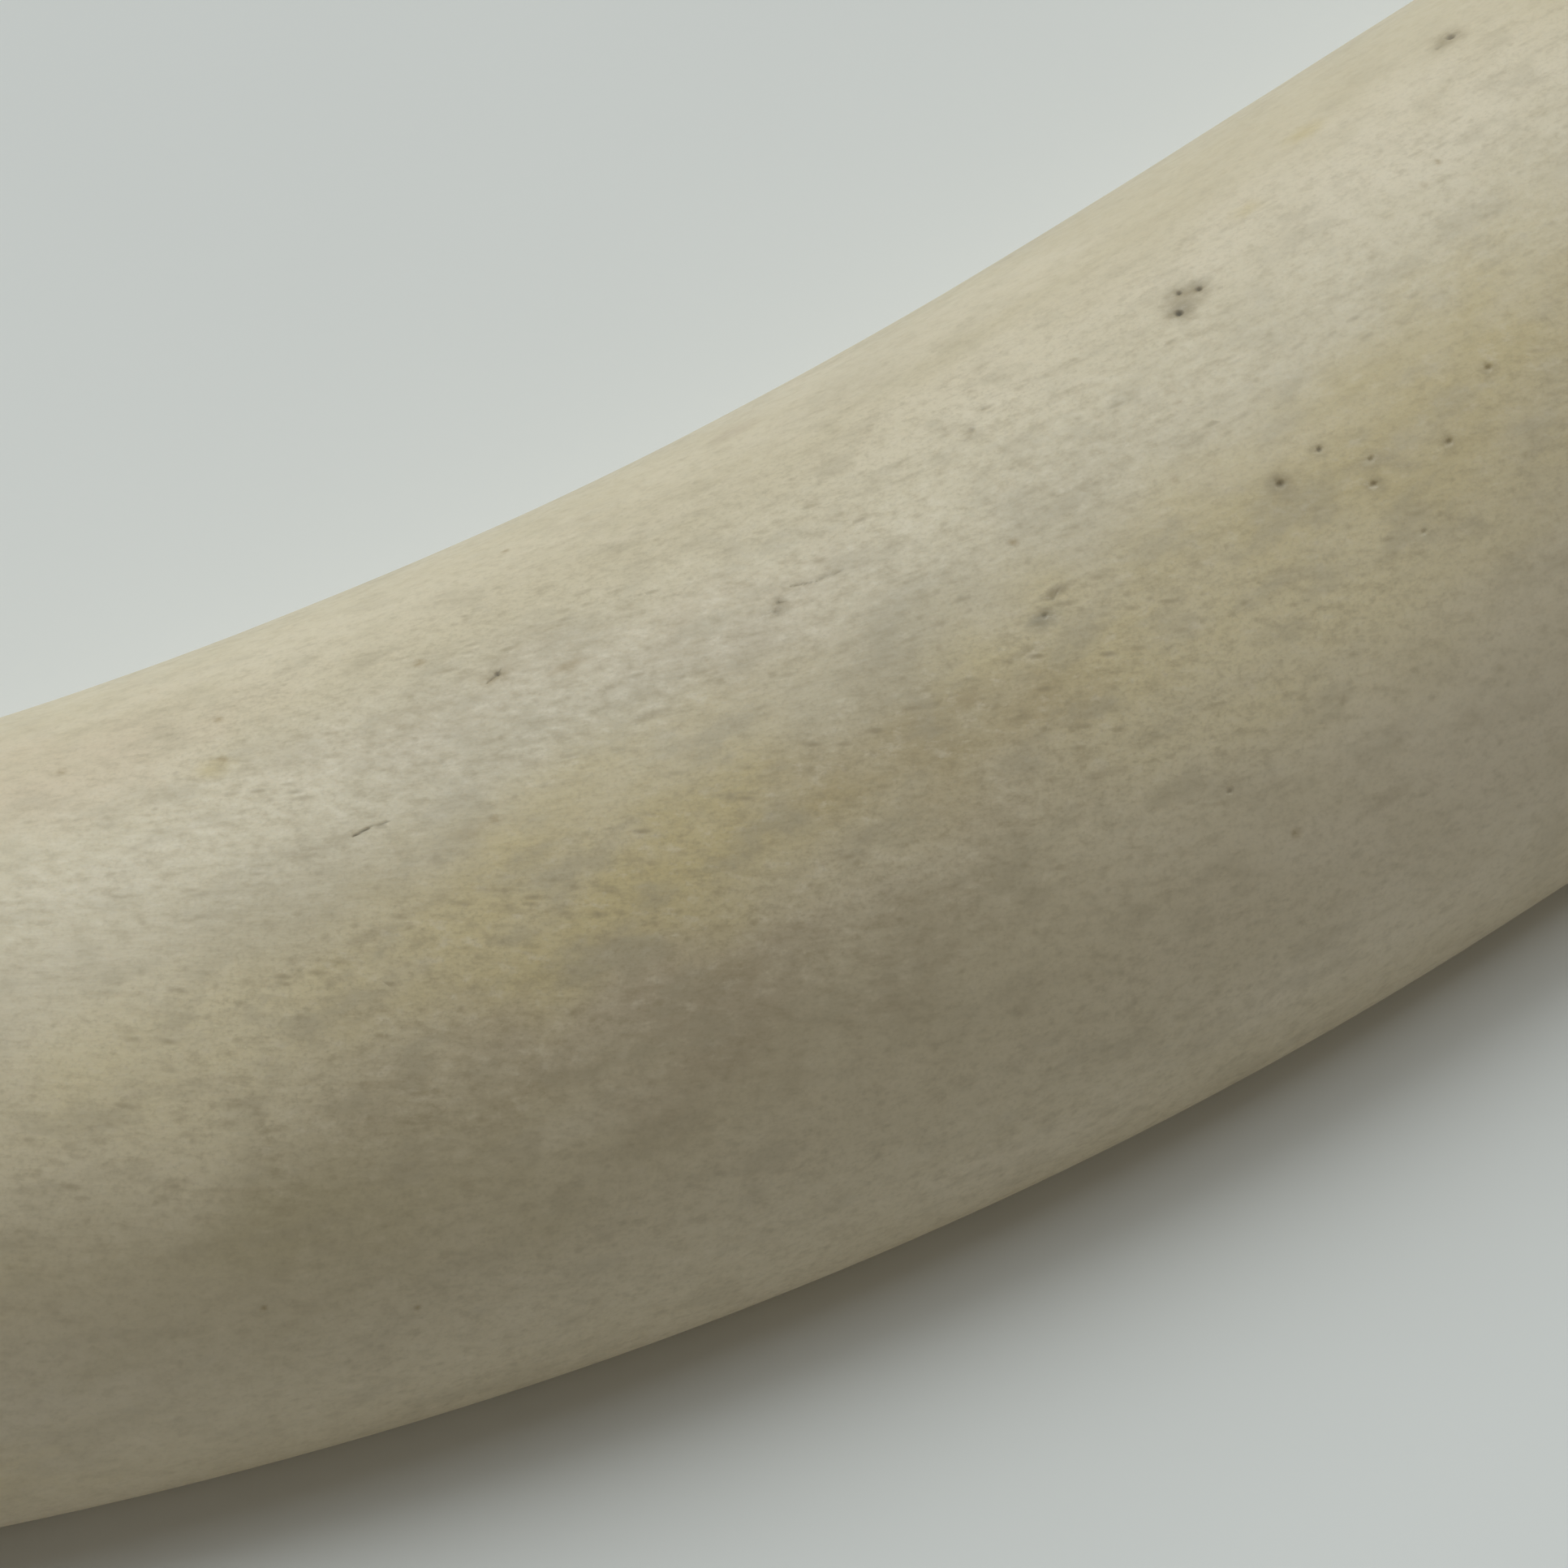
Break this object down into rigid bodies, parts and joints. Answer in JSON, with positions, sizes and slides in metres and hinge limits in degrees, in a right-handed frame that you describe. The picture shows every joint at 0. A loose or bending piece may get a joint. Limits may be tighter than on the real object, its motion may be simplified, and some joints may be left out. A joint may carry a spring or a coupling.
{
  "type": "bone folder",
  "caption": "Curved one-piece bone folder for creasing and burnishing paper: domed front, flat back, a slim rounded creasing tip and a broad rounded butt.",
  "frame": {"origin": "middle of the rectangle the folder covers when it lies on its flat back, at the height of that back", "axes": "+Z out of the domed front, +X along the straight line from the creasing tip to the butt, +Y towards the hollow side of the bend"},
  "size_m": [0.1474, 0.0368, 0.009],
  "materials": {
    "bone": "polished bone, satin, with fine grain, small nutrient pores and soft ochre and grey mottling"
  },
  "bodies": {
    "root": {"bone_blade": "bone"}
  },
  "joints": []
}
